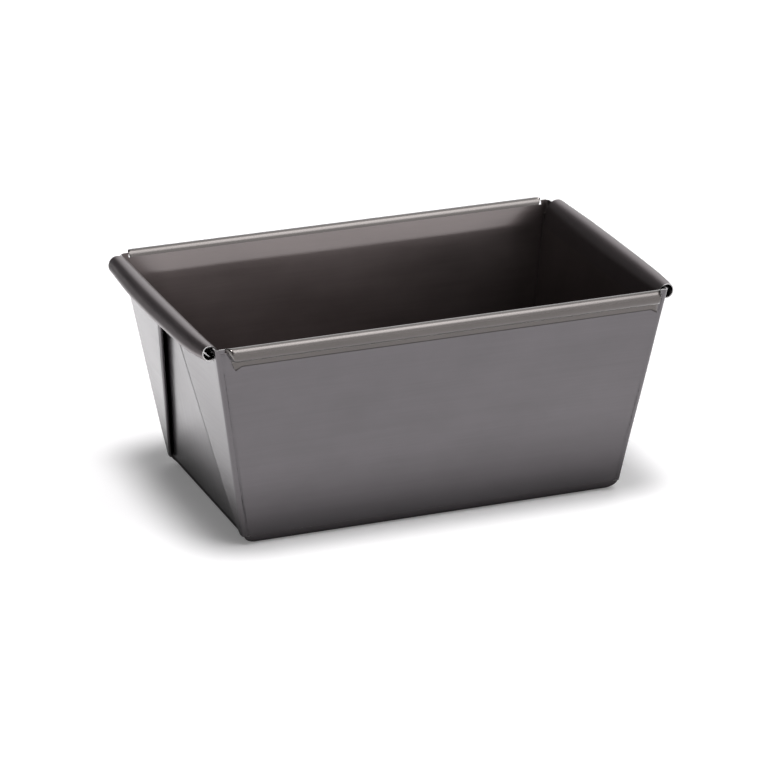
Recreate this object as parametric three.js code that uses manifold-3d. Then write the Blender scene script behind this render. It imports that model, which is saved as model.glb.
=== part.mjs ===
// Mini loaf pan, folded from one sheet of steel.
// The nodes are the panels of that sheet between its folds: the base with its turned-up edge, two long
// walls, two end walls, the two plies of the gusset that each corner folds into, the rolled rims of the
// ends and the hemmed rims of the long sides.
// Millimetres, +Z up. X runs along the pan, Y across it, and the origin is under the middle of the base.
import * as THREE from 'three';
import { mergeVertices } from 'three/addons/utils/BufferGeometryUtils.js';
import Module from 'manifold-3d';

const wasm = await Module();
wasm.setup();

// Driving dimensions, in millimetres and degrees
const rimHeight = 62; // top of the rims above the underside
const mouthLength = 128.4; // inside, between the end walls at rim height
const mouthWidth = 84; // inside, between the long walls at rim height
const endFlare = 9.4; // lean of the end walls from upright
const sideFlare = 9; // lean of the long walls from upright
const sheet = 0.4; // thickness of the steel
const baseBendRadius = 3; // outside radius of the fold between base and walls
const plyGap = 0.2; // air between the end wall and the plies folded against it
const seamGap = 0.05; // air between two panels along a fold
const foldLap = 0.3; // flat stretch that a fold shares with the panel that it belongs to
const plyFoot = 0.8; // from the base's edge up to the pinched foot of an inner ply
const gussetTipGap = 9; // between the two gussets of one end, at rim height
const rollCrown = 3.8; // from an end wall's inner face out to the highest point of its rolled rim
const rollOverhang = 3; // from that highest point out to the edge of the roll
const rollHeight = 6.4; // rolled rim of an end, from its lowest to its highest point
const rollEase = 1; // how far below the roll's middle the end wall starts to turn
const rollLipAngle = 25; // how far the lip of the roll curls past its lowest point
const rollEndClearance = 1.4; // from the end of the roll to the corner fold
const hemWidth = 3.6; // bead along a long rim, across
const hemHeight = 4.1; // bead along a long rim, from its lowest to its highest point
const hemFlange = 2.4; // flat strip of the hem below its bead
const hemGap = 0.1; // air between the flat strip and the wall
const hemEndClearance = 1.4; // from the end of the hem to the corner fold
const hemMitre = 3.1; // how much shorter the flat strip is at each end than the bead
const cornerDrop = 0.5; // raw edge at the corners, below the rims

// Steps of the round stretches
const bendSteps = 6;
const foldSteps = 6;
const rollSteps = 8;
const hemSteps = 14;

// Angles and places worked out from the driving dimensions
const endLean = THREE.MathUtils.degToRad(endFlare);
const sideLean = THREE.MathUtils.degToRad(sideFlare);
const endFoot = mouthLength / 2 - rimHeight * Math.tan(endLean);
const sideFoot = mouthWidth / 2 - rimHeight * Math.tan(sideLean);
const baseTop = baseBendRadius * (1 - Math.sin(Math.max(endLean, sideLean)));
const wallBottom = baseTop + seamGap;
const cornerTop = rimHeight - cornerDrop;
const innerPlyStart = sheet + plyGap;
const outerPlyStart = innerPlyStart + sheet + plyGap;
const rollCentre = rimHeight - rollHeight / 2;
const plyTop = rollCentre - rollEase;
const hemCentre = rimHeight - hemHeight / 2;
const reach = 2 * (mouthLength + mouthWidth + rimHeight);

// Each wall has its own frame: along the wall, up its slope and out of the pan
const endFrame = {
  along: new THREE.Vector3(0, 1, 0),
  up: new THREE.Vector3(Math.sin(endLean), 0, Math.cos(endLean)),
  out: new THREE.Vector3(Math.cos(endLean), 0, -Math.sin(endLean)),
  origin: new THREE.Vector3(endFoot, 0, 0),
};
const sideFrame = {
  along: new THREE.Vector3(-1, 0, 0),
  up: new THREE.Vector3(0, Math.sin(sideLean), Math.cos(sideLean)),
  out: new THREE.Vector3(0, Math.cos(sideLean), -Math.sin(sideLean)),
  origin: new THREE.Vector3(0, sideFoot, 0),
};

// The corner folds share one axis, which leans out with both walls
const cornerInset = sheet + plyGap / 2;
const cornerReach = outerPlyStart - cornerInset;
const cornerFootX = endFoot + cornerInset / Math.cos(endLean);
const cornerFootY = sideFoot - cornerReach / Math.cos(sideLean);
const cornerAt = (z) => new THREE.Vector3(
  cornerFootX + z * Math.tan(endLean),
  cornerFootY + z * Math.tan(sideLean),
  z,
);

// Solids, joined and cut
const solidOf = (geometry) => {
  const bare = geometry.clone();
  bare.deleteAttribute('normal');
  bare.deleteAttribute('uv');
  const merged = mergeVertices(bare);
  return new wasm.Manifold(new wasm.Mesh({
    numProp: 3,
    vertProperties: new Float32Array(merged.attributes.position.array),
    triVerts: new Uint32Array(merged.index.array),
  }));
};

const geometryOf = (solid) => {
  const mesh = solid.getMesh();
  const geometry = new THREE.BufferGeometry();
  geometry.setAttribute('position', new THREE.BufferAttribute(new Float32Array(mesh.vertProperties), 3));
  geometry.setIndex(new THREE.BufferAttribute(new Uint32Array(mesh.triVerts), 1));
  return geometry;
};

// Everything between two heights
const layer = (low, high) => {
  const box = new THREE.BoxGeometry(reach, reach, high - low);
  box.translate(0, 0, (low + high) / 2);
  return solidOf(box);
};

// An outline of points (first, second), as thick as depth along the third direction
const extrude = (shape, depth, steps, first, second, third, origin) => {
  const geometry = new THREE.ExtrudeGeometry(shape, { depth, bevelEnabled: false, curveSegments: steps });
  geometry.applyMatrix4(new THREE.Matrix4().makeBasis(first, second, third).setPosition(origin));
  return solidOf(geometry);
};

const outlineOf = (points) => new THREE.Shape(points.map(([x, y]) => new THREE.Vector2(x, y)));

// A flat panel in a wall's frame, from one distance out of the inner face to another
const panel = (frame, points, from, to) => {
  const origin = frame.origin.clone().addScaledVector(frame.out, from);
  return extrude(outlineOf(points), to - from, 1, frame.along, frame.up, frame.out, origin);
};

// A section drawn out and up, run along a wall for its whole length
const runner = (frame, shape, length, steps) => {
  const along = frame.along.clone().negate();
  const origin = frame.origin.clone().addScaledVector(along, -length / 2);
  return extrude(shape, length, steps, frame.out, frame.up, along, origin);
};

// A fold round a line: the sheet runs straight for a short lap, then turns from one direction to another
const fold = (centre, from, towards, inside, turn, length) => {
  const axis = new THREE.Vector3().crossVectors(from, towards);
  const origin = centre.clone().addScaledVector(axis, -length / 2);
  const shape = new THREE.Shape();
  shape.moveTo(inside + sheet, -foldLap);
  shape.absarc(0, 0, inside + sheet, 0, turn, false);
  shape.absarc(0, 0, inside, turn, 0, true);
  shape.lineTo(inside, -foldLap);
  return extrude(shape, length, foldSteps, from, towards, axis, origin);
};

// Heights up the slope of a wall, at a distance out of its inner face
const slopeHeight = (frame, z, out) => (z - out * frame.out.z) / frame.up.z;

// Where the corner axis stands along the end wall and along the long wall
const endHalf = (up) => cornerAt(up * endFrame.up.z + cornerInset * endFrame.out.z).y;
const sideHalf = (up) => cornerAt(up * sideFrame.up.z - cornerReach * sideFrame.out.z).x;

// Directions round the corner axis, from the end wall towards the long wall
const cornerTurn = endFrame.out.angleTo(sideFrame.out);
const cornerTowards = sideFrame.out.clone();
cornerTowards.addScaledVector(endFrame.out, -endFrame.out.dot(sideFrame.out)).normalize();
const cornerMiddle = cornerAt(rimHeight / 2);

// Base: a flat sheet whose edge turns up all round into the walls
const makeBase = () => {
  const flatX = endFoot + sheet / Math.cos(endLean) - baseBendRadius * Math.tan((Math.PI / 2 - endLean) / 2);
  const flatY = sideFoot + sheet / Math.cos(sideLean) - baseBendRadius * Math.tan((Math.PI / 2 - sideLean) / 2);
  const outline = outlineOf([[flatX, flatY], [-flatX, flatY], [-flatX, -flatY], [flatX, -flatY]]);
  const bowl = (radius) => {
    const geometry = new THREE.ExtrudeGeometry(outline, {
      depth: baseBendRadius,
      bevelThickness: radius,
      bevelSize: radius,
      bevelSegments: bendSteps,
    });
    geometry.translate(0, 0, baseBendRadius);
    return solidOf(geometry);
  };
  const shell = bowl(baseBendRadius).subtract(bowl(baseBendRadius - sheet));
  return shell.intersect(layer(-sheet, baseTop));
};

// End wall: a flat panel from the base to the roll, between the two corner folds
const makeEndWall = () => {
  const low = 0;
  const high = slopeHeight(endFrame, rollCentre, rollCrown) - rollEase - seamGap;
  const points = [
    [seamGap - endHalf(low), low],
    [endHalf(low) - seamGap, low],
    [endHalf(high) - seamGap, high],
    [seamGap - endHalf(high), high],
  ];
  return panel(endFrame, points, 0, sheet).intersect(layer(wallBottom, rimHeight));
};

// Long wall: a flat panel from the base to the hem, with two raw corners that stand beside the hem
const makeSideWall = () => {
  const low = 0;
  const high = slopeHeight(sideFrame, cornerTop + sheet, 0);
  const notch = slopeHeight(sideFrame, hemCentre, hemWidth / 2) - seamGap;
  const notchHalf = sideHalf(notch) - hemEndClearance + seamGap;
  const points = [
    [seamGap - sideHalf(low), low],
    [sideHalf(low) - seamGap, low],
    [sideHalf(high) - seamGap, high],
    [notchHalf, high],
    [notchHalf, notch],
    [-notchHalf, notch],
    [-notchHalf, high],
    [seamGap - sideHalf(high), high],
  ];
  return panel(sideFrame, points, 0, sheet).intersect(layer(wallBottom, cornerTop));
};

// The slanting fold of a gusset, from the foot of the corner up towards the middle of the end wall
const gussetApexUp = slopeHeight(endFrame, baseTop, 0);
const gussetTipUp = slopeHeight(endFrame, rimHeight, 0);
const gussetApex = new THREE.Vector2(endHalf(gussetApexUp), gussetApexUp);
const gussetTip = new THREE.Vector2(gussetTipGap / 2 + plyGap / 2 + sheet, gussetTipUp);
const gussetSlant = gussetTip.clone().sub(gussetApex);
const gussetAcross = new THREE.Vector2(-gussetSlant.y, gussetSlant.x).normalize();
const endPoint = (point, out) => endFrame.origin.clone()
  .addScaledVector(endFrame.along, point.x)
  .addScaledVector(endFrame.up, point.y)
  .addScaledVector(endFrame.out, out);

// A ply's outline, drawn back from the slanting fold
const plyOutline = (setback) => {
  const back = gussetAcross.clone().multiplyScalar(-setback);
  const low = gussetApex.clone().add(back);
  const high = gussetTip.clone().add(back);
  return [[low.x, low.y], [endHalf(gussetTipUp), gussetTipUp], [high.x, high.y]];
};

// Outer ply of a gusset: it carries on from the long wall round the corner and turns in at its slanting fold
const makeOuterPly = () => {
  const leaf = panel(endFrame, plyOutline(0), outerPlyStart, outerPlyStart + sheet);
  const across = endFrame.along.clone().multiplyScalar(gussetAcross.x)
    .addScaledVector(endFrame.up, gussetAcross.y);
  const middle = endPoint(gussetApex.clone().lerp(gussetTip, 0.5), outerPlyStart - plyGap / 2);
  const slantFold = fold(middle, endFrame.out, across, plyGap / 2, Math.PI, gussetSlant.length());
  const captured = leaf.add(slantFold).intersect(layer(wallBottom, plyTop));
  const corner = fold(cornerMiddle, endFrame.out, cornerTowards, cornerReach, cornerTurn, 2 * rimHeight);
  return captured.add(corner.intersect(layer(wallBottom, cornerTop)));
};

// Inner ply of a gusset: it carries on from the end wall, folded flat back on it at the corner
const makeInnerPly = () => {
  const leaf = panel(endFrame, plyOutline(seamGap), innerPlyStart, innerPlyStart + sheet);
  const hairpin = fold(cornerMiddle, endFrame.out, cornerTowards, plyGap / 2, Math.PI, 2 * rimHeight);
  return leaf.add(hairpin).intersect(layer(wallBottom + plyFoot, plyTop));
};

// Rolled rim of an end: the end wall's top curls out and down over the gussets
const makeEndRoll = () => {
  const up = slopeHeight(endFrame, rollCentre, rollCrown);
  const foot = up - rollEase;
  const outside = rollHeight / 2;
  const inside = outside - sheet;
  const lip = -Math.PI / 2 - THREE.MathUtils.degToRad(rollLipAngle);
  const section = new THREE.Shape();
  section.absellipse(rollCrown, foot, rollCrown, outside + rollEase, Math.PI, Math.PI / 2, true);
  section.absellipse(rollCrown, up, rollOverhang, outside, Math.PI / 2, lip, true);
  section.absellipse(rollCrown, up, rollOverhang - sheet, inside, lip, Math.PI / 2, false);
  section.absellipse(rollCrown, foot, rollCrown - sheet, inside + rollEase, Math.PI / 2, Math.PI, false);
  const length = 2 * (endHalf(up) - rollEndClearance);
  return runner(endFrame, section, length, rollSteps);
};

// Hemmed rim of a long side: a bead that turns out and down and ends in a flat strip against the wall
const makeSideHem = () => {
  const radius = hemWidth / 2;
  const rise = hemHeight / 2;
  const up = slopeHeight(sideFrame, hemCentre, radius);
  const flangeStart = sheet + hemGap;
  const meet = -Math.acos((flangeStart + sheet / 2 - radius) / (radius - sheet / 2));
  const bead = new THREE.Shape();
  bead.absellipse(radius, up, radius, rise, Math.PI, meet, true);
  bead.absellipse(radius, up, radius - sheet, rise - sheet, meet, Math.PI, false);
  const beadHalf = sideHalf(up) - hemEndClearance;
  const flangeTop = up + (rise - sheet / 2) * Math.sin(meet);
  const flangeBottom = up - rise - hemFlange;
  const strip = outlineOf([
    [flangeStart, flangeBottom],
    [flangeStart + sheet, flangeBottom],
    [flangeStart + sheet, flangeTop],
    [flangeStart, flangeTop],
  ]);
  const hem = runner(sideFrame, bead, 2 * beadHalf, hemSteps).add(runner(sideFrame, strip, 2 * beadHalf, 1));
  const mitre = panel(sideFrame, [
    [hemMitre - beadHalf, flangeBottom - sheet],
    [beadHalf - hemMitre, flangeBottom - sheet],
    [beadHalf, up + rise],
    [-beadHalf, up + rise],
  ], -hemWidth, 2 * hemWidth);
  return hem.intersect(mitre);
};

// A solid as a mesh, turned to its side of the pan by mirroring
const meshOf = (name, solid, signX, signY, colour, roughness) => {
  const geometry = geometryOf(solid);
  geometry.scale(signX, signY, 1);
  if (signX * signY < 0) {
    const corners = geometry.index.array;
    for (let i = 0; i < corners.length; i += 3) {
      const second = corners[i + 1];
      corners[i + 1] = corners[i + 2];
      corners[i + 2] = second;
    }
  }
  geometry.computeVertexNormals();
  const material = new THREE.MeshStandardMaterial({ color: colour, roughness, metalness: 1 });
  const mesh = new THREE.Mesh(geometry, material);
  mesh.name = name;
  return mesh;
};

// Brushed steel, a little lighter where it is folded and a little warmer along the hems
const panelColour = 0x8a8789;
const gussetColour = 0x9a999b;
const rollColour = 0x7d797b;
const hemColour = 0x98948e;
const panelRoughness = 0.32;
const rimRoughness = 0.26;

const pan = new THREE.Group();
pan.name = 'mini_loaf_pan';
pan.add(meshOf('base_panel', makeBase(), 1, 1, panelColour, panelRoughness));

const endWall = makeEndWall();
const endRoll = makeEndRoll();
const outerPly = makeOuterPly();
const innerPly = makeInnerPly();
const sideWall = makeSideWall();
const sideHem = makeSideHem();
const ends = [['left', -1], ['right', 1]];
const sides = [['front', -1], ['back', 1]];
for (const [side, signY] of sides) {
  pan.add(meshOf(`${side}_wall`, sideWall, 1, signY, panelColour, panelRoughness));
  pan.add(meshOf(`${side}_rim_hem`, sideHem, 1, signY, hemColour, rimRoughness));
}
for (const [end, signX] of ends) {
  pan.add(meshOf(`${end}_end_wall`, endWall, signX, 1, panelColour, panelRoughness));
  pan.add(meshOf(`${end}_end_roll`, endRoll, signX, 1, rollColour, rimRoughness));
  for (const [side, signY] of sides) {
    const corner = `${side}_${end}_gusset`;
    pan.add(meshOf(`${corner}_outer_ply`, outerPly, signX, signY, gussetColour, panelRoughness));
    pan.add(meshOf(`${corner}_inner_ply`, innerPly, signX, signY, gussetColour, panelRoughness));
  }
}

export default pan;
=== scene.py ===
"""Mini loaf pan folded from one steel sheet, on a white studio floor."""
import math

import bpy
import numpy as np
from mathutils import Matrix, Vector


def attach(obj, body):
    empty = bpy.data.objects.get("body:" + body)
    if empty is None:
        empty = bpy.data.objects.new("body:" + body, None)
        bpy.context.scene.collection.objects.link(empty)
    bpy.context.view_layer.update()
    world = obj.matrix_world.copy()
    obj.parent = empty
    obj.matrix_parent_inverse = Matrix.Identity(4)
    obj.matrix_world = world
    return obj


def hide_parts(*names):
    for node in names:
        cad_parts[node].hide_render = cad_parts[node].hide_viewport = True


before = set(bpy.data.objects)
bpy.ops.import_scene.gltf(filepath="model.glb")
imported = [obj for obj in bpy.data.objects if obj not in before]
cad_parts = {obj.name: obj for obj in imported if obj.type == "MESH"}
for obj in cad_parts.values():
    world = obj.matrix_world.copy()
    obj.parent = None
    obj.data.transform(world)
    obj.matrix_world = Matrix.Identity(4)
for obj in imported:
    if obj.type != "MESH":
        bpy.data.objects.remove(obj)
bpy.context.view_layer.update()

# Driving dimensions of the pan, in millimetres and degrees
RIM_HEIGHT = 62.0
MOUTH_LENGTH = 128.4
MOUTH_WIDTH = 84.0
END_FLARE = 9.4
SIDE_FLARE = 9.0
SHEET = 0.4
SKIN = 0.04                 # room kept inside the solids' box

# Base: its bend, and the swell of the bend's foot where it meets the gussets
BASE_BEND = 3.0             # outer radius of the bend
BASE_CORNER = 0.5           # added to the corner radius where the bend starts
BASE_LEAD = 0.5             # straight run above the bend
BASE_RINGS = (0.12, 0.4, 0.7, 0.9)   # rings of the flat, as shares of its size
BASE_RING_CORNER = 0.4
FOOT_SWELL = 2.6            # length from the corner over which the foot swells
FOOT_SWELL_CURVE = 1.5

# Gussets
PLY_GAP = 0.2               # air between the leaves
GUSSET_TIP_GAP = 8.6        # between the tips of an end's two gussets, at the rim
GUSSET_APEX = 1.2           # height at which the slanting fold starts
GUSSET_STAND = 0.85         # how far the leaves stand off at the top
LEAF_DENSE_END = 0.9        # shares of the outer leaf: end of its even steps, and its last step
LEAF_LAST = 0.96
LEAF_LEAST = 0.02           # least width of the outer leaf
OUTER_PLY_FOOT = 6.0        # stretch of the outer leaf with closer rows
INNER_PLY_LIFT = 0.6        # the inner leaf starts this far above the outer one
INNER_PLY_SETBACK = 0.1     # and stops short of the slanting fold
INNER_PLY_LEAST = 0.01
HAIRPIN_OVERLAP = 0.2       # its fold at the corner reaches behind the long wall
EAR_REACH = 1.3             # how far the ear beside the roll turns the corner
FOLD_SHADE = 0.6            # how dark the painted shade line beside the slanting fold is

# Rolled rims
ROLL_CROWN = 3.8            # from the wall to the roll's highest line
ROLL_OVERHANG = 3.0         # and on from there to its outermost line
ROLL_HEIGHT = 6.4
ROLL_EASE = 1.0             # how far below its middle the roll starts to curve
ROLL_LIP_ANGLE = 25.0       # how far the lip turns in past the roll's lowest line
ROLL_END_CLEARANCE = 1.4
ROLL_LEAD_ROWS = 2          # rows of the wall that belong to the roll
ROLL_TAPER = 1.8            # run over which the roll narrows from the wall's width
ROLL_SLIM_RUN = 3.0         # run over which its slimmer section sets in
ROLL_SHADE = 0.6            # painted shade along the roll, standing in for a dark reflection, from and to these angles round it
ROLL_SHADE_FROM = 8.0
ROLL_SHADE_TO = 50.0
ROLL_SHADE_FADE = 14.0
# Size of the roll's section at places along it, from its front end to its back end
ROLL_SLIM = (
    (-1.0, 0.66), (-0.93, 0.76), (-0.8, 0.83), (-0.4, 0.95), (0.1, 1.0), (0.6, 0.975), (1.0, 0.885),
)
ROLL_SLIM_DEGREE = 5

# Hems: the bead, the flat strip below it with its pointed tips, and the kink in the wall
HEM_WIDTH = 3.6
HEM_HEIGHT = 4.1
HEM_FLANGE = 2.4            # height of the flat strip below the bead
HEM_TUCK = 0.7              # radius of the turn from the bead into the strip
HEM_TURN = 0.35             # the strip's lower edge turns in over this height, by this much
HEM_TURN_IN = 0.21
HEM_TIP = 1.0               # how far the strip's tips point down
HEM_TIP_LENGTH = 1.8
HEM_TIP_FLARE = 0.35        # and out
HEM_FLATTEN = 1.1           # length over which the hem's ends are pressed flat
HEM_GAP = 0.1               # air between the strip and the wall
HEM_SETTLE = 0.02           # how far the bead sits below the rim
HEM_END_CLEARANCE = 1.4
HEM_MITRE = 3.1             # how far the ends slant in from top to bottom
HEM_MITRE_CURVE = 1.3
FRONT_RIGHT_MITRE = 0.6     # the same at the front hem's right end
# Painted shade: in the groove under the bead, and a painted dark line along the strip's lower edge
HEM_TUCK_SHADE = (0.3, 0.7, 0.8, 0.7, 0.4)
HEM_LIP_SHADE = (0.3, 0.75)
KINK_ANGLE = 7.0            # the wall above the kink leans out by this much more
KINK_DROP = 6.8             # height of the kink below the rim
KINK_BEND = 0.6             # the bend starts this far below the kink
KINK_SHARE = 0.96           # share of the kink's depth that the wall takes up
KINK_HOLD = 0.08            # share of the bend before the wall comes out again
KINK_CURVE = 1.05

# Corners of the long walls
CORNER_DROP = 0.5           # how far the ears stay below the rim
CORNER_EASE = 11.0          # the lean of the long wall fades out over this length
NOTCH_LIMIT = 0.985         # furthest place of the column beside an ear, as a share of the wall

# Unevenness of a hand-folded sheet: where it fades, and a swell and a ripple on each wall
WAVE_TOP_FADE = 12.0
WAVE_FOOT, WAVE_FOOT_FADE = 2.0, 6.0
SIDE_WAVE_FROM, SIDE_WAVE_FADE = 26.0, 6.0
END_WAVE_FROM, END_WAVE_FADE = 48.0, 5.0
SIDE_WAVE = {
    "swell": 0.10, "swell_along": 17.0, "along_shift": 0.6, "swell_up": 15.0, "up_shift": 0.4,
    "ripple": 0.05, "ripple_along": 7.3, "ripple_up": 9.0,
}
END_WAVE = {
    "swell": 0.09, "swell_along": 11.0, "along_shift": 1.1, "swell_up": 13.0, "up_shift": 0.0,
    "ripple": 0.04, "ripple_along": 5.7, "ripple_up": -8.0,
}

# Points along the pieces' rows and columns
SIDE_ROWS, KINK_ROWS, SIDE_COLUMNS = 26, 10, 61
BEAD_STEPS, TUCK_STEPS, FLANGE_STEPS, HEM_COLUMNS = 28, 8, 8, 95
SIDE_EAR_ROWS, SIDE_EAR_COLUMNS = 6, 5
END_ROWS, END_COLUMNS = 28, 37
ROLL_RISE_STEPS, ROLL_CURL_STEPS, ROLL_COLUMNS = 16, 34, 61
FOLD_STEPS = 9
OUTER_FOOT_ROWS, OUTER_ROWS, OUTER_LEAF_STEPS, PLY_EAR_ROWS = 8, 30, 16, 8
INNER_ROWS, INNER_LEAF_STEPS = 26, 14
BASE_BEND_STEPS, BASE_CORNER_STEPS, BASE_EDGE_STEPS = 9, 7, 26
SHARP_ANGLE = 38.0

MM = 0.001
END_LEAN = math.radians(END_FLARE)
SIDE_LEAN = math.radians(SIDE_FLARE)
END_FOOT = MOUTH_LENGTH / 2 - RIM_HEIGHT * math.tan(END_LEAN)
SIDE_FOOT = MOUTH_WIDTH / 2 - RIM_HEIGHT * math.tan(SIDE_LEAN)
RIM = RIM_HEIGHT - SKIN
CORNER_TOP = RIM - CORNER_DROP
INNER_PLY = SHEET + PLY_GAP
OUTER_PLY = INNER_PLY + SHEET + PLY_GAP
CORNER_INSET = SHEET + PLY_GAP / 2
CORNER_REACH = OUTER_PLY - CORNER_INSET
ROLL_CENTRE = RIM - ROLL_HEIGHT / 2
PLY_TOP = ROLL_CENTRE - ROLL_EASE


# Frames of the walls, for the end at +X and the side at +Y
class Wall:
    """Along a wall, up its slope and out of the pan."""

    def __init__(self, along, lean, axis, foot):
        self.along = np.array(along, float)
        outward = np.array(axis, float)
        upright = np.array([0.0, 0.0, 1.0])
        self.up = outward * math.sin(lean) + upright * math.cos(lean)
        self.out = outward * math.cos(lean) - upright * math.sin(lean)
        self.origin = outward * foot
        self.lean = lean

    def at(self, along, up, out):
        along, up, out = (np.asarray(a, float)[..., None] for a in (along, up, out))
        return self.origin + along * self.along + up * self.up + out * self.out

    def slope(self, height, out=0.0):
        return (height + out * math.sin(self.lean)) / math.cos(self.lean)


END = Wall((0, 1, 0), END_LEAN, (1, 0, 0), END_FOOT)
SIDE = Wall((1, 0, 0), SIDE_LEAN, (0, 1, 0), SIDE_FOOT)


def corner_at(z):
    """The axis of a corner's folds, which leans out with both walls."""
    z = np.asarray(z, float)
    x = END_FOOT + CORNER_INSET / math.cos(END_LEAN) + z * math.tan(END_LEAN)
    y = SIDE_FOOT - CORNER_REACH / math.cos(SIDE_LEAN) + z * math.tan(SIDE_LEAN)
    return np.stack([x, y, z], axis=-1)


def end_corner(up):
    """The corner's axis beside a place up the end wall."""
    return corner_at(up * math.cos(END_LEAN) - CORNER_INSET * math.sin(END_LEAN))


def end_half(up):
    """Half length of the end wall at a place up its slope."""
    return end_corner(up)[..., 1]


def side_half(up):
    """Half length of the long wall at a place up its slope."""
    return corner_at(up * math.cos(SIDE_LEAN) + CORNER_REACH * math.sin(SIDE_LEAN))[..., 0]


def bend_end(lean, foot):
    """Half width of the flat base, and how far up the slope its bend reaches."""
    flat = foot + SHEET / math.cos(lean) - BASE_BEND * math.tan((math.pi / 2 - lean) / 2)
    across = flat + BASE_BEND * math.cos(lean) - foot
    height = BASE_BEND - BASE_BEND * math.sin(lean)
    return flat, across * math.sin(lean) + height * math.cos(lean)


FLAT_X, END_BEND_UP = bend_end(END_LEAN, END_FOOT)
FLAT_Y, SIDE_BEND_UP = bend_end(SIDE_LEAN, SIDE_FOOT)
END_START = END_BEND_UP + BASE_LEAD
SIDE_START = SIDE_BEND_UP + BASE_LEAD


# Steps and curves
def share(value, start, length):
    """How far a value has come along a stretch, from 0 to 1."""
    return np.clip((value - start) / length, 0, 1)


def crowded(count):
    """Places from -1 to 1 that stand closer together towards both ends."""
    return np.sin(np.linspace(-1, 1, count) * math.pi / 2)


def arc(centre_out, centre_up, radius_out, radius_up, start, end, count):
    """Points of a section round part of an ellipse, in degrees."""
    angle = np.radians(np.linspace(start, end, count))
    return np.column_stack([centre_out + radius_out * np.cos(angle), centre_up + radius_up * np.sin(angle)])


def ring_points(centre, first, second, angles):
    """Points round an arc in space, given by its radii in two directions."""
    a = np.asarray(angles, float)[:, None]
    return centre + np.cos(a) * first + np.sin(a) * second


def offset_section(curve, thickness):
    """Points of the other face of a sheet whose section runs along the curve, to the right of its run."""
    run = np.gradient(curve, axis=0)
    run /= np.linalg.norm(run, axis=1)[:, None]
    right = np.column_stack([run[:, 1], -run[:, 0]])
    return curve + right * thickness


def lengths(curve):
    """Length of the run from the first point to each point."""
    return np.concatenate([[0], np.cumsum(np.linalg.norm(np.diff(curve, axis=0), axis=1))])


# Meshes from grids. An edge of a sheet is left open, closed where the next panel carries on, or a cut edge.
OPEN, JOINT, CUT = None, 0.0, 1.0


class Shell:
    """Sheet between an outer and an inner grid of points, with the places on the flat blank."""

    def __init__(self):
        self.points, self.blank, self.faces = [], [], []
        # per face: cut edges, outer faces, and painted shade for dark lines and bands
        self.raw, self.outside, self.crease = [], [], []

    def face(self, corners, raw=0.0, outside=0.0, crease=0.0):
        self.faces.append([int(corner) for corner in corners])
        self.raw.append(raw)
        self.outside.append(outside)
        self.crease.append(float(crease))

    def add(self, outer, inner, blank, caps, turned=False, wrap=False, crease=0.0):
        """Add a sheet. The caps are for its first and last row and its first and last column."""
        rows, cols = outer.shape[:2]
        across = cols if wrap else cols - 1
        crease = np.broadcast_to(crease, (rows - 1, across))
        low, high, first, last = caps
        if turned:
            outer, inner, blank, crease = (grid[:, ::-1] for grid in (outer, inner, blank, crease))
            first, last = last, first
        step = rows * cols
        index = len(self.points) + np.arange(step).reshape(rows, cols)
        if wrap:
            index = np.column_stack([index, index[:, 0]])
        for grid in (outer, inner):
            self.points.extend(grid.reshape(-1, 3))
            self.blank.extend(blank.reshape(-1, 2))
        for r in range(rows - 1):
            for c in range(across):
                a, b = index[r, c], index[r, c + 1]
                e, f = index[r + 1, c], index[r + 1, c + 1]
                self.face((a, b, f, e), outside=1.0, crease=crease[r, c])
                self.face((a + step, e + step, f + step, b + step), crease=crease[r, c])
        edges = (
            (index[0], low, True), (index[-1], high, False),
            (index[:, 0], first, False), (index[:, -1], last, True),
        )
        for line, cap, flip in edges:
            if cap is OPEN:
                continue
            for a, b in zip(line[:-1], line[1:]):
                quad = (a, b, b + step, a + step)
                self.face(quad[::-1] if flip else quad, raw=cap)


def waves(along, up, swell, swell_along, along_shift, swell_up, up_shift, ripple, ripple_along, ripple_up):
    """A long swell and a short slanting ripple over a wall."""
    long_wave = swell * np.sin(along / swell_along + along_shift) * np.sin(up / swell_up + up_shift)
    return long_wave + ripple * np.sin(along / ripple_along + up / ripple_up)


def wobble(points):
    """Slight unevenness of the sheet, the same for every piece so that their edges still meet."""
    x, y, z = points.T
    fade = share(RIM_HEIGHT - z, 0.0, WAVE_TOP_FADE) * share(z, WAVE_FOOT, WAVE_FOOT_FADE)
    on_side = share(np.abs(y), SIDE_WAVE_FROM, SIDE_WAVE_FADE)
    on_end = share(np.abs(x), END_WAVE_FROM, END_WAVE_FADE)
    moved = points.copy()
    moved[:, 1] += fade * on_side * waves(x, z, **SIDE_WAVE)
    moved[:, 0] += fade * on_end * waves(y, z, **END_WAVE)
    return moved


def make_piece(name, shell, flip_x, flip_y, material):
    """A piece on its side of the pan, standing for the node of its own name."""
    points = wobble(np.array(shell.points, float) * np.array([flip_x, flip_y, 1.0]))
    mirrored = flip_x * flip_y < 0
    faces = [corners[::-1] if mirrored else corners for corners in shell.faces]
    mesh = bpy.data.meshes.new(name)
    mesh.from_pydata((points * MM).tolist(), [], faces)
    mesh.polygons.foreach_set("use_smooth", [True] * len(faces))
    blank = np.array(shell.blank, float) * np.array([flip_x, flip_y])
    flat = np.column_stack([blank, np.zeros(len(blank))])
    mesh.attributes.new("blank", 'FLOAT_VECTOR', 'POINT').data.foreach_set("vector", flat.ravel())
    for layer in ("raw", "outside", "crease"):
        mesh.attributes.new(layer, 'FLOAT', 'FACE').data.foreach_set("value", getattr(shell, layer))
    mesh.update()
    mesh.set_sharp_from_angle(angle=math.radians(SHARP_ANGLE))
    mesh.materials.append(material)
    piece = bpy.data.objects.new(name + "_sheet", mesh)
    bpy.context.collection.objects.link(piece)
    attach(piece, "root")
    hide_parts(name)


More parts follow.
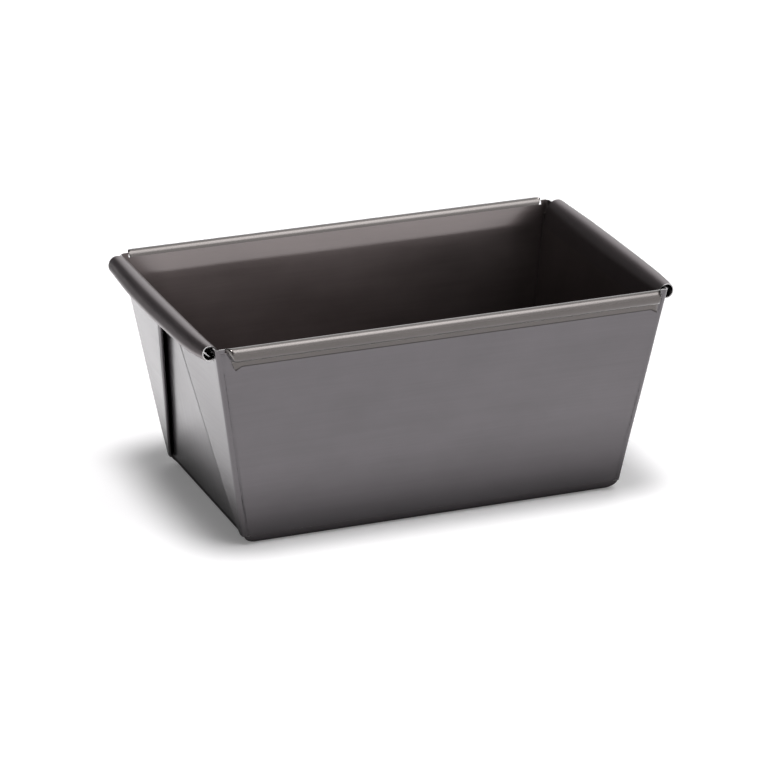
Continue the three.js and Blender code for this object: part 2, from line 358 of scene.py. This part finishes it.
# Base
def rounded_outline(half_x, half_y, radius):
    """Points round a rectangle with rounded corners, with the direction out of it at each."""
    points, outward = [], []
    run_x, run_y = 2 * (half_x - radius), 2 * (half_y - radius)
    corners = ((1, -1, -90, (0, 1)), (1, 1, 0, (-1, 0)), (-1, 1, 90, (0, -1)), (-1, -1, 180, (1, 0)))
    for side_x, side_y, start, (to_x, to_y) in corners:
        centre_x, centre_y = side_x * run_x / 2, side_y * run_y / 2
        for angle in np.radians(np.linspace(start, start + 90, BASE_CORNER_STEPS)):
            points.append((centre_x + radius * math.cos(angle), centre_y + radius * math.sin(angle)))
            outward.append((math.cos(angle), math.sin(angle)))
        from_x, from_y = points[-1]
        for i in range(1, BASE_EDGE_STEPS):
            done = 0.5 - 0.5 * math.cos(math.pi * i / BASE_EDGE_STEPS)
            points.append((from_x + to_x * run_x * done, from_y + to_y * run_y * done))
            outward.append(outward[-1])
    return np.array(points), np.array(outward)


def base_bend_ring(radius, done, lead):
    """A ring round the base's bend, part of the way up it, and its place on the flat base."""
    sweep = radius * math.sin(done * (math.pi / 2 - END_LEAN))
    corner = CORNER_REACH + SHEET - (BASE_BEND - radius) + BASE_CORNER * (1 - done)
    ring, outward = rounded_outline(FLAT_X + sweep, FLAT_Y + sweep, corner)
    lean = END_LEAN * outward[:, 0] ** 2 + SIDE_LEAN * outward[:, 1] ** 2
    angle = done * (math.pi / 2 - lean)
    from_corner = FLAT_Y + sweep - np.abs(ring[:, 1])
    swell = (1 - share(from_corner, 0.0, FOOT_SWELL)) ** FOOT_SWELL_CURVE
    reach = radius * np.sin(angle) - sweep + lead * np.sin(lean)
    reach = reach + OUTER_PLY * done ** 2 * np.abs(outward[:, 0]) * swell
    height = BASE_BEND - radius * np.cos(angle) + lead * np.cos(lean)
    return np.column_stack([ring + outward * reach[:, None], height]), ring


def make_base():
    """The flat base and the bend that turns up all round it."""
    outer, inner, blank = [], [], []
    for size in BASE_RINGS:
        ring, _ = rounded_outline(FLAT_X * size, FLAT_Y * size, BASE_RING_CORNER * size)
        outer.append(np.column_stack([ring, np.zeros(len(ring))]))
        inner.append(np.column_stack([ring, np.full(len(ring), SHEET)]))
        blank.append(ring)
    bend = [(i / BASE_BEND_STEPS, 0.0) for i in range(BASE_BEND_STEPS + 1)]
    for done, lead in bend + [(1.0, BASE_LEAD)]:
        outer.append(base_bend_ring(BASE_BEND, done, lead)[0])
        inner_ring, flat_ring = base_bend_ring(BASE_BEND - SHEET, done, lead)
        inner.append(inner_ring)
        blank.append(flat_ring)
    shell = Shell()
    outer, inner = np.array(outer), np.array(inner)
    shell.add(outer, inner, np.array(blank), caps=(OPEN, CUT, OPEN, OPEN), wrap=True)
    rows, count = outer.shape[:2]
    shell.face(reversed(range(count)))
    shell.face(range(rows * count, rows * count + count))
    return shell


# Long wall and its hem, along one section
def side_section():
    """Section of the long wall's inner face and on round the hem, and how many points are the wall's."""
    radius, rise = HEM_WIDTH / 2 - SKIN, HEM_HEIGHT / 2
    kink_up = SIDE.slope(RIM_HEIGHT - KINK_DROP)
    depth = KINK_SHARE * math.tan(math.radians(KINK_ANGLE)) * (SIDE.slope(RIM) - rise - kink_up)
    bead_up = SIDE.slope(RIM - rise, radius) - HEM_SETTLE
    below = np.linspace(0, 1, SIDE_ROWS)
    wall = np.column_stack([-depth * below, SIDE_START + (kink_up - KINK_BEND - SIDE_START) * below])
    above = np.linspace(0, 1, KINK_ROWS)[1:]
    back_out = share(above, KINK_HOLD, 1 - KINK_HOLD) ** KINK_CURVE
    kink = np.column_stack([depth * (back_out - 1), wall[-1][1] + (bead_up - wall[-1][1]) * above])
    bead = arc(radius, bead_up, radius, rise, 180, -90, BEAD_STEPS)[1:]
    flange_out = SHEET + HEM_GAP + SHEET
    tuck = arc(flange_out + HEM_TUCK, bead[-1][1] - HEM_TUCK, HEM_TUCK, HEM_TUCK, 90, 180, TUCK_STEPS)
    flange_up = np.linspace(tuck[-1][1], bead_up - rise - HEM_FLANGE, FLANGE_STEPS)[1:]
    flange = np.column_stack([np.full(len(flange_up), flange_out), flange_up])
    flange[-1][0] -= HEM_TURN_IN
    flange[-2][1] = flange[-1][1] + HEM_TURN
    return np.vstack([wall, kink, bead, tuck, flange]), len(wall) + len(kink)


def side_blank(along, up):
    """Places on the flat blank for points of a long wall and what carries on from it."""
    return np.stack([along, np.broadcast_to(SIDE_FOOT + up, along.shape)], axis=-1)


def make_side_wall():
    """Long wall from the base's bend to the hem, with an ear beside each end of the hem."""
    curve, split = side_section()
    inner = curve[:split]
    outer = offset_section(curve, SHEET)[:split]
    top = inner[-1][1]
    half = side_half(inner[:, 1:])
    notch = side_half(top) - HEM_END_CLEARANCE
    along = crowded(SIDE_COLUMNS) * half
    beside = np.minimum(notch, NOTCH_LIMIT * half[:, 0])
    along[:, 1], along[:, -2] = -beside, beside
    ease = share(half - np.abs(along), 0.0, CORNER_EASE)
    ease = ease * ease * (3 - 2 * ease)
    faces = []
    for face, flat in ((outer, SHEET), (inner, 0.0)):
        faces.append(SIDE.at(along, face[:, 1:], flat + (face[:, :1] - flat) * ease))
    shell = Shell()
    shell.add(*faces, side_blank(along, inner[:, 1:]), caps=(JOINT, JOINT, JOINT, JOINT), turned=True)
    up = np.linspace(top, SIDE.slope(CORNER_TOP), SIDE_EAR_ROWS)[:, None]
    ear = notch + (side_half(up) - notch) * np.linspace(0, 1, SIDE_EAR_COLUMNS)
    for sign in (-1, 1):
        faces = [SIDE.at(sign * ear, up, face[-1][0]) for face in (outer, inner)]
        shell.add(*faces, side_blank(sign * ear, up), caps=(JOINT, CUT, CUT, JOINT), turned=sign > 0)
    return shell


def make_side_hem(right_mitre):
    """Bead and flat strip, with ends cut on a slant."""
    curve, split = side_section()
    inner = curve[split - 1:]
    outer = offset_section(curve, SHEET)[split - 1:]
    top, bottom = curve[:, 1].max(), inner[-1][1]
    bead_half = side_half(inner[0][1]) - HEM_END_CLEARANCE
    columns = crowded(HEM_COLUMNS)
    mitre = np.where(columns > 0, right_mitre, HEM_MITRE)

    def half(face):
        return bead_half - mitre * share(top - face[:, 1:], 0.0, top - bottom) ** HEM_MITRE_CURVE

    faces = []
    for face, flat in ((outer, 2 * SHEET + HEM_GAP), (inner, SHEET + HEM_GAP)):
        out, up = face[:, :1], face[:, 1:]
        along = columns * half(face)
        from_end = half(face) - np.abs(along)
        closed = (1 - share(from_end, 0.0, HEM_FLATTEN)) ** 2
        flatter = (np.minimum(out, flat) - out) * closed
        on_strip = share(bottom + HEM_FLANGE - up, 0.0, HEM_FLANGE)
        tip = (1 - share(from_end, 0.0, HEM_TIP_LENGTH)) * on_strip
        up = up + math.tan(SIDE_LEAN) * flatter - HEM_TIP * tip
        faces.append(SIDE.at(along, up, out + flatter + HEM_TIP_FLARE * tip))
    run = inner[0][1] + lengths(inner)[:, None]
    # painted shade rows: the groove under the bead and the strip's lower edge
    shade = np.zeros((len(inner) - 1, 1))
    tuck_row = BEAD_STEPS - 2
    shade[tuck_row:tuck_row + len(HEM_TUCK_SHADE), 0] = HEM_TUCK_SHADE
    shade[-len(HEM_LIP_SHADE):, 0] = HEM_LIP_SHADE
    shell = Shell()
    shell.add(
        *faces, side_blank(columns * half(inner), run), caps=(JOINT, CUT, CUT, CUT),
        turned=True, crease=shade)
    return shell


# End wall and its roll, along one section
def end_section():
    """Section of the end wall's inner face and on round the roll, and how many points are the wall's."""
    up = END.slope(ROLL_CENTRE, ROLL_CROWN)
    foot = up - ROLL_EASE
    rise = ROLL_HEIGHT / 2
    wall = np.column_stack([np.zeros(END_ROWS), np.linspace(END_START, foot, END_ROWS)])
    ease = arc(ROLL_CROWN, foot, ROLL_CROWN, rise + ROLL_EASE, 180, 90, ROLL_RISE_STEPS)[1:]
    lip = -90 - ROLL_LIP_ANGLE
    curl = arc(ROLL_CROWN, up, ROLL_OVERHANG - SKIN, rise, 90, lip, ROLL_CURL_STEPS)[1:]
    return np.vstack([wall, ease, curl]), len(wall) - ROLL_LEAD_ROWS


def end_blank(along, up):
    """Places on the flat blank for points of an end wall and what carries on from it."""
    return np.stack([np.broadcast_to(END_FOOT + up, along.shape), along], axis=-1)


def make_end_wall():
    """End wall from the base's bend to the roll, between the two corner folds."""
    curve, split = end_section()
    inner = curve[:split]
    outer = offset_section(curve, SHEET)[:split]
    along = np.linspace(-1, 1, END_COLUMNS) * end_half(inner[:, 1:])
    faces = [END.at(along, face[:, 1:], face[:, :1]) for face in (outer, inner)]
    shell = Shell()
    shell.add(*faces, end_blank(along, inner[:, 1:]), caps=(JOINT, JOINT, JOINT, JOINT))
    return shell


def roll_shade(section):
    """How much painted shade the roll gets round its section: a soft dark line on its outer shoulder,
    standing in for a dark reflection.
    """
    low, high = section.min(axis=0), section.max(axis=0)
    spread = (section - (high + low) / 2) / (high - low)
    tilt = np.degrees(np.arctan2(spread[:, 1], spread[:, 0]))
    begins = share(tilt, ROLL_SHADE_FROM, ROLL_SHADE_FADE)
    ends = share(ROLL_SHADE_TO - tilt, 0.0, ROLL_SHADE_FADE)
    return ROLL_SHADE * begins * ends


def make_end_roll():
    """The end wall's top, curled out and down over the gussets, and slimmer towards its ends."""
    curve, split = end_section()
    inner = curve[split - 1:]
    outer = offset_section(curve, SHEET)[split - 1:]
    run = lengths(inner)[:, None]
    wall_half = end_half(inner[:, 1:])
    full = end_half(END.slope(ROLL_CENTRE, ROLL_CROWN)) - ROLL_END_CLEARANCE
    along = crowded(ROLL_COLUMNS) * (wall_half + (full - wall_half) * share(run, 0.0, ROLL_TAPER))
    places, sizes = np.array(ROLL_SLIM).T
    slim = np.minimum(np.polyval(np.polyfit(places, sizes, ROLL_SLIM_DEGREE), along / full), 1.0)
    begun = share(run, 0.0, ROLL_SLIM_RUN)
    crown, slim_crown = END.slope(RIM, ROLL_CROWN), END.slope(RIM - SKIN, ROLL_CROWN * slim)
    faces = []
    for face in (outer, inner):
        up = face[:, 1:]
        slim_up = slim_crown - (crown - up) * slim
        faces.append(END.at(along, up + (slim_up - up) * begun, face[:, :1] * slim))
    shell = Shell()
    shell.add(
        *faces, end_blank(along, inner[0][1] + run), caps=(JOINT, CUT, CUT, CUT),
        crease=roll_shade(inner)[:-1, None])
    return shell


# Gussets
TURN = math.acos(float(np.dot(END.out, SIDE.out)))
TOWARDS = SIDE.out - END.out * float(np.dot(END.out, SIDE.out))
TOWARDS = TOWARDS / np.linalg.norm(TOWARDS)
APEX_UP = END.slope(GUSSET_APEX)
TIP_UP = END.slope(RIM_HEIGHT)
HAIRPIN_RADIUS = PLY_GAP / 2 + SHEET
CORNER_ANGLES = np.linspace(TURN, 0, FOLD_STEPS)


def slant_at(up):
    """Where the slanting fold stands along the end wall."""
    tip = GUSSET_TIP_GAP / 2 + HAIRPIN_RADIUS
    apex = end_half(APEX_UP)
    return apex + (tip - apex) * (up - APEX_UP) / (TIP_UP - APEX_UP)


def across_slant():
    """Direction across the slanting fold, in the plane of the end wall and away from the corner."""
    slant = END.along * (slant_at(TIP_UP) - slant_at(APEX_UP)) + END.up * (TIP_UP - APEX_UP)
    across = np.cross(END.out, slant / np.linalg.norm(slant))
    return across if across[1] < 0 else -across


def stand_off(up):
    """How far the leaves of a gusset stand off the end wall."""
    return GUSSET_STAND * math.sqrt((up - END_START) / (TIP_UP - END_START))


def corner_bend(up, extra):
    """The outer ply's bend round the corner, from the long wall to the end."""
    reach = CORNER_REACH + extra
    return ring_points(end_corner(up), END.out * reach, TOWARDS * reach, CORNER_ANGLES)


def add_leaf(shell, rows, points_at, blank_at, caps, crease=0.0):
    """Add a leaf that is worked out row by row, for its outer and its inner face."""
    outer, inner = (np.array([points_at(up, extra) for up in rows]) for extra in (SHEET, 0.0))
    blank = np.array([blank_at(up) for up in rows])
    shell.add(outer, inner, blank, caps=caps, turned=True, crease=crease)


def make_outer_ply():
    """The leaf that carries on from the long wall round the corner and turns in at its slanting fold."""
    foot_end, top = END_START + OUTER_PLY_FOOT, END.slope(PLY_TOP)
    foot_rows = np.linspace(END_START, foot_end, OUTER_FOOT_ROWS)
    rows = np.concatenate([foot_rows, np.linspace(foot_end, top, OUTER_ROWS)[1:]])
    ear_rows = np.linspace(top, END.slope(CORNER_TOP, CORNER_INSET), PLY_EAR_ROWS)
    across = across_slant()
    slant_angles = np.linspace(0, math.pi, FOLD_STEPS)
    leaf = np.append(np.linspace(0, LEAF_DENSE_END, OUTER_LEAF_STEPS)[1:], LEAF_LAST)
    turned = np.linspace(0, TURN * CORNER_REACH, FOLD_STEPS)
    ear = EAR_REACH * np.array([0.5, 1.0])

    def width(up):
        return max(end_half(up) - slant_at(up), LEAF_LEAST)

    def leaf_points(up, extra):
        bend = corner_bend(up, extra)
        middle = END.at(end_half(up) - width(up), up, OUTER_PLY - PLY_GAP / 2 + stand_off(up))
        radius = PLY_GAP / 2 + extra
        fold = ring_points(middle, END.out * radius, across * radius, slant_angles)
        return np.vstack([bend, bend[-1] + (fold[0] - bend[-1]) * leaf[:, None], fold])

    def leaf_blank(up):
        spread = turned[-1] + width(up) * np.append(leaf, np.ones(FOLD_STEPS))
        return side_blank(side_half(up) + np.append(turned, spread), up)

    def ear_points(up, extra):
        bend = corner_bend(up, extra)
        return np.vstack([bend, bend[-1] - END.along * ear[:, None]])

    def ear_blank(up):
        return side_blank(side_half(up) + np.append(turned, turned[-1] + ear), up)

    # painted shade line beside the slanting fold
    shade = np.zeros(2 * FOLD_STEPS + len(leaf) - 1)
    shade[-FOLD_STEPS] = FOLD_SHADE
    shell = Shell()
    add_leaf(shell, rows, leaf_points, leaf_blank, (JOINT, CUT, JOINT, CUT), crease=shade)
    add_leaf(shell, ear_rows, ear_points, ear_blank, (JOINT, CUT, JOINT, CUT))
    return shell


def make_inner_ply():
    """The leaf that carries on from the end wall, folded flat back on it at the corner."""
    rows = np.linspace(END_START + INNER_PLY_LIFT, END.slope(PLY_TOP), INNER_ROWS)
    angles = np.linspace(math.pi, 0, FOLD_STEPS)
    leaf = np.linspace(0, 1, INNER_LEAF_STEPS)[1:]
    turned = np.linspace(0, math.pi * HAIRPIN_RADIUS, FOLD_STEPS)

    def width(up):
        return max(end_half(up) - slant_at(up) - INNER_PLY_SETBACK, INNER_PLY_LEAST)

    def leaf_points(up, extra):
        radius = PLY_GAP / 2 + extra
        wide = radius / HAIRPIN_RADIUS * (CORNER_REACH + HAIRPIN_OVERLAP)
        hairpin = ring_points(end_corner(up), END.out * radius, TOWARDS * wide, angles)
        reach = END.out * stand_off(up) - END.along * width(up)
        return np.vstack([hairpin, hairpin[-1] + reach * leaf[:, None]])

    def leaf_blank(up):
        return end_blank(end_half(up) + np.append(turned, turned[-1] + width(up) * leaf), up)

    shell = Shell()
    add_leaf(shell, rows, leaf_points, leaf_blank, (CUT, CUT, JOINT, CUT))
    return shell


# Materials: colours, painted shade at the outside's foot and along lines and bands, inside faces painted
# lighter, and the grain, streaks and clouds of the sheet
WHITE = (1.0, 1.0, 1.0)
CUT_COLOUR = (0.50, 0.49, 0.49)
# Painted shade: the colour and reflection tint it darkens to, the heights in mm over which the painted
# shade at the outside's foot fades out, and its strength there
PAINTED_SHADE_COLOUR = (0.032, 0.029, 0.030)
PAINTED_SHADE_TINT = (0.2, 0.2, 0.2)
FOOT_SHADE_HEIGHT = (-3.0, 27.0)
FOOT_SHADE_AMOUNT = 0.8
COAT_IOR = 1.6
COAT_ROUGHNESS = 0.16
GRAIN = {"stretch": (0.045, 1.9), "detail": 4.0, "roughness": 0.6}
STREAK = {"stretch": (0.012, 0.32), "detail": 2.0, "roughness": 0.5}
CLOUD = {"stretch": (0.05, 0.06), "detail": 3.0, "roughness": 0.55}
NOISE_RANGE = (0.3, 0.7)
GRAIN_TONE = (-0.16, 0.16)
STREAK_TONE = (-0.12, 0.12)
CLOUD_TONE = (0.2, 0.8)
GRAIN_DEPTH = 0.00002


class Graph:
    """Short forms for the nodes of a material or of the world."""

    def __init__(self, owner):
        owner.use_nodes = True
        self.nodes, self.links = owner.node_tree.nodes, owner.node_tree.links

    def node(self, kind, **settings):
        node = self.nodes.new("ShaderNode" + kind)
        for setting, value in settings.items():
            setattr(node, setting, value)
        return node

    def feed(self, node, **values):
        """Link outputs to a node's sockets, or set the sockets' own values."""
        for name, value in values.items():
            self.put(node.inputs[name.replace("_", " ")], value)

    def put(self, socket, value):
        if isinstance(value, bpy.types.NodeSocket):
            self.links.new(value, socket)
        elif socket.type == 'RGBA':
            socket.default_value = (*value, 1.0)
        else:
            socket.default_value = value

    def attribute(self, name, output="Fac"):
        return self.node("Attribute", attribute_name=name).outputs[output]

    def math(self, operation, *values):
        node = self.node("Math", operation=operation)
        for socket, value in zip(node.inputs, values):
            self.put(socket, value)
        return node.outputs["Value"]

    def spread(self, value, span, to_span, easing='LINEAR'):
        node = self.node("MapRange", interpolation_type=easing)
        self.feed(node, Value=value, From_Min=span[0], From_Max=span[1])
        self.feed(node, To_Min=to_span[0], To_Max=to_span[1])
        return node.outputs["Result"]

    def mix(self, factor, first, second, blend='MIX'):
        node = self.node("Mix", data_type='RGBA', blend_type=blend)
        self.feed(node, Factor=factor, A=first, B=second)
        return node.outputs["Result"]

    def noise(self, place, stretch, detail, roughness):
        mapping = self.node("Mapping")
        self.feed(mapping, Vector=place, Scale=(*stretch, 1.0))
        texture = self.node("TexNoise")
        self.feed(texture, Vector=mapping.outputs["Vector"], Scale=1.0, Detail=detail, Roughness=roughness)
        return texture.outputs["Fac"]


def steel(name, dark, light, rough, rough_swing, film=0.0, inside_painted_light=None, bump=0.0):
    """Grey steel sheet with grain along the blank and bright cut edges, painted shade at the outside's foot
    and along lines and bands, and inside faces that can be painted lighter.
    """
    material = bpy.data.materials.new(name)
    graph = Graph(material)
    shader = graph.nodes["Principled BSDF"]
    place = graph.attribute("blank", "Vector")
    outside = graph.attribute("outside")
    grain, streak, cloud = (graph.noise(place, **look) for look in (GRAIN, STREAK, CLOUD))

    tone = graph.math(
        'ADD', graph.spread(grain, NOISE_RANGE, GRAIN_TONE), graph.spread(cloud, NOISE_RANGE, CLOUD_TONE))
    tone = graph.math('ADD', tone, graph.spread(streak, NOISE_RANGE, STREAK_TONE))
    colour = graph.mix(tone, dark, light)
    # inside faces painted lighter and warmer than the outside: painted light in the pan's hollow
    if inside_painted_light:
        colour = graph.mix(1.0, colour, graph.mix(outside, inside_painted_light, WHITE), 'MULTIPLY')

    apart = graph.node("SeparateXYZ")
    graph.feed(apart, Vector=graph.node("TexCoord").outputs["Object"])
    # painted shade on the outside faces, strongest at the foot and fading up the wall
    foot = [height * MM for height in FOOT_SHADE_HEIGHT]
    foot_shade = graph.spread(apart.outputs["Z"], foot, (FOOT_SHADE_AMOUNT, 0.0), 'SMOOTHSTEP')
    shade_mask = graph.math('MULTIPLY', outside, foot_shade)
    # painted shade lines and bands carried by the mesh join the painted shade at the foot
    shade_mask = graph.math('MAXIMUM', shade_mask, graph.attribute("crease"))
    colour = graph.mix(shade_mask, colour, PAINTED_SHADE_COLOUR)
    colour = graph.mix(graph.attribute("raw"), colour, CUT_COLOUR)

    swing = (rough - rough_swing, rough + rough_swing)
    half_swing = (-0.5 * rough_swing, 0.5 * rough_swing)
    roughness = graph.math(
        'ADD', graph.spread(grain, NOISE_RANGE, swing), graph.spread(cloud, NOISE_RANGE, half_swing))
    # the painted shade also darkens the reflection's tint
    graph.feed(
        shader, Base_Color=colour, Metallic=1.0, Roughness=roughness,
        Specular_Tint=graph.mix(shade_mask, WHITE, PAINTED_SHADE_TINT))
    # the coat thins out under the painted shade
    if film:
        coat = graph.spread(shade_mask, (0.0, 1.0), (film, 0.0))
        graph.feed(shader, Coat_Weight=coat, Coat_IOR=COAT_IOR, Coat_Roughness=COAT_ROUGHNESS)
    if bump:
        bumps = graph.node("Bump")
        graph.feed(bumps, Strength=bump, Distance=GRAIN_DEPTH, Height=grain)
        graph.feed(shader, Normal=bumps.outputs["Normal"])
    return material


# Inside faces of the panels and the base are painted lighter: painted light in the pan's hollow
PANEL = steel(
    "panel_steel", dark=(0.086, 0.078, 0.084), light=(0.106, 0.096, 0.104),
    rough=0.34, rough_swing=0.03, film=0.92, inside_painted_light=(1.91, 1.78, 1.62), bump=0.03)
BASE_STEEL = steel(
    "base_steel", dark=(0.122, 0.111, 0.118), light=(0.150, 0.137, 0.146),
    rough=0.55, rough_swing=0.03, inside_painted_light=(1.2, 1.1, 1.05), bump=0.03)
ROLL_STEEL = steel(
    "roll_steel", dark=(0.142, 0.121, 0.124), light=(0.171, 0.146, 0.150),
    rough=0.42, rough_swing=0.02, film=0.3)
RIM_STEEL = steel(
    "rim_steel", dark=(0.070, 0.060, 0.056), light=(0.085, 0.073, 0.068),
    rough=0.24, rough_swing=0.02, film=1.0)

# The pan
make_piece("base_panel", make_base(), 1, 1, BASE_STEEL)
for side, sign_y, right_mitre in (("front", -1, FRONT_RIGHT_MITRE), ("back", 1, HEM_MITRE)):
    make_piece(side + "_wall", make_side_wall(), 1, sign_y, PANEL)
    make_piece(side + "_rim_hem", make_side_hem(right_mitre), 1, sign_y, RIM_STEEL)
for end, sign_x in (("left", -1), ("right", 1)):
    make_piece(end + "_end_wall", make_end_wall(), sign_x, 1, PANEL)
    make_piece(end + "_end_roll", make_end_roll(), sign_x, 1, ROLL_STEEL)
    for side, sign_y in (("front", -1), ("back", 1)):
        corner = side + "_" + end + "_gusset_"
        make_piece(corner + "outer_ply", make_outer_ply(), sign_x, sign_y, PANEL)
        make_piece(corner + "inner_ply", make_inner_ply(), sign_x, sign_y, PANEL)

# Studio: the floor in metres, and the lights as directions with their edges in degrees and strengths
FLOOR_HALF = 2.2
FLOOR_COLOUR = (0.93, 0.925, 0.93)
FLOOR_GLOW = (0.15, 0.15, 0.15)
ROOM_COLOUR = (1.0, 0.995, 1.0)
OVERHEAD = {"towards": (-0.03, -0.09, 1.0), "narrow": 2, "wide": 12, "dim": 0.0, "bright": 34.0}
VIEWER_SIDE = {"towards": (0.38, -1.0, 0.16), "narrow": 8, "wide": 34, "dim": 0.10, "bright": 1.4}
BEHIND = {"towards": (0.37, 0.85, 0.31), "narrow": 4, "wide": 28, "dim": 0.0, "bright": 1.1}
# The strip light's extent in X, and its front and back stretches in Y, on the unit sphere of directions
STRIP_ACROSS = {"centre": 0.33, "narrow": 0.05, "wide": 0.11, "bright": 1.0}
STRIP_FRONT = {"centre": -0.38, "narrow": 0.18, "wide": 0.50, "bright": 6.0}
STRIP_BACK = {"centre": 0.32, "narrow": 0.20, "wide": 0.48, "bright": 1.5}


def make_floor():
    """A wide white floor that keeps the pan's shadow, with a faint glow for the view and the steel."""
    outline = [(x * FLOOR_HALF, y * FLOOR_HALF, 0.0) for x, y in ((-1, -1), (1, -1), (1, 1), (-1, 1))]
    mesh = bpy.data.meshes.new("floor")
    mesh.from_pydata(outline, [], [(0, 1, 2, 3)])
    floor = bpy.data.objects.new("floor", mesh)
    bpy.context.collection.objects.link(floor)
    material = bpy.data.materials.new("floor_white")
    graph = Graph(material)
    graph.nodes.clear()
    path = graph.node("LightPath").outputs
    seen = graph.math('MAXIMUM', path["Is Camera Ray"], path["Is Glossy Ray"])
    seen = graph.math('MAXIMUM', seen, path["Is Transmission Ray"])
    diffuse = graph.node("BsdfDiffuse")
    graph.feed(diffuse, Color=FLOOR_COLOUR)
    glow = graph.node("Emission")
    graph.feed(glow, Color=FLOOR_GLOW, Strength=seen)
    both = graph.node("AddShader")
    graph.put(both.inputs[0], diffuse.outputs["BSDF"])
    graph.put(both.inputs[1], glow.outputs["Emission"])
    graph.feed(graph.node("OutputMaterial"), Surface=both.outputs["Shader"])
    mesh.materials.append(material)


def make_world():
    """A dim room: a small lamp overhead, a long strip light, a pale side in front and a glow behind."""
    world = bpy.data.worlds.new("studio")
    bpy.context.scene.world = world
    graph = Graph(world)
    graph.nodes.clear()
    place = graph.node("TexCoord").outputs["Generated"]
    apart = graph.node("SeparateXYZ")
    graph.feed(apart, Vector=place)

    def lobe(towards, narrow, wide, dim, bright):
        dot = graph.node("VectorMath", operation='DOT_PRODUCT')
        graph.put(dot.inputs[0], place)
        graph.put(dot.inputs[1], Vector(towards).normalized())
        edge = (math.cos(math.radians(wide)), math.cos(math.radians(narrow)))
        return graph.spread(dot.outputs["Value"], edge, (dim, bright), 'SMOOTHSTEP')

    def band(axis, centre, narrow, wide, bright):
        away = graph.math('ABSOLUTE', graph.math('SUBTRACT', apart.outputs[axis], centre))
        return graph.spread(away, (narrow, wide), (bright, 0.0), 'SMOOTHSTEP')

    stretches = graph.math('ADD', band("Y", **STRIP_FRONT), band("Y", **STRIP_BACK))
    strip = graph.math('MULTIPLY', band("X", **STRIP_ACROSS), stretches)
    above = graph.math('ADD', lobe(**OVERHEAD), strip)
    around = graph.math('ADD', lobe(**VIEWER_SIDE), lobe(**BEHIND))
    background = graph.node("Background")
    graph.feed(background, Color=ROOM_COLOUR, Strength=graph.math('ADD', above, around))
    graph.feed(graph.node("OutputWorld"), Surface=background.outputs["Background"])


# Camera: the photograph's view, in degrees and millimetres
AZIMUTH, ELEVATION, ROLL = -20.689, 20.866, -0.41
DISTANCE = 1186.11
TARGET = (-2.136, 0.0, 28.101)
LENS, SENSOR = 198.07, 36.0
CLIP_NEAR, CLIP_FAR = 0.05, 20.0


def make_camera():
    """The photograph's view."""
    azimuth, elevation, roll = (math.radians(a) for a in (AZIMUTH, ELEVATION, ROLL))
    back = Vector((
        math.sin(azimuth) * math.cos(elevation),
        -math.cos(azimuth) * math.cos(elevation),
        math.sin(elevation),
    ))
    level_right = Vector((math.cos(azimuth), math.sin(azimuth), 0.0))
    level_up = back.cross(level_right)
    right = level_right * math.cos(roll) + level_up * math.sin(roll)
    up = level_up * math.cos(roll) - level_right * math.sin(roll)
    place = (Vector(TARGET) + back * DISTANCE) * MM
    data = bpy.data.cameras.new("camera")
    data.lens = LENS
    data.sensor_width = SENSOR
    data.sensor_fit = 'HORIZONTAL'
    data.clip_start = CLIP_NEAR
    data.clip_end = CLIP_FAR
    camera = bpy.data.objects.new("camera", data)
    bpy.context.collection.objects.link(camera)
    camera.matrix_world = Matrix((
        (right.x, up.x, back.x, place.x),
        (right.y, up.y, back.y, place.y),
        (right.z, up.z, back.z, place.z),
        (0.0, 0.0, 0.0, 1.0),
    ))
    bpy.context.scene.camera = camera


make_floor()
make_world()
make_camera()
bpy.context.scene.view_settings.view_transform = 'Standard'
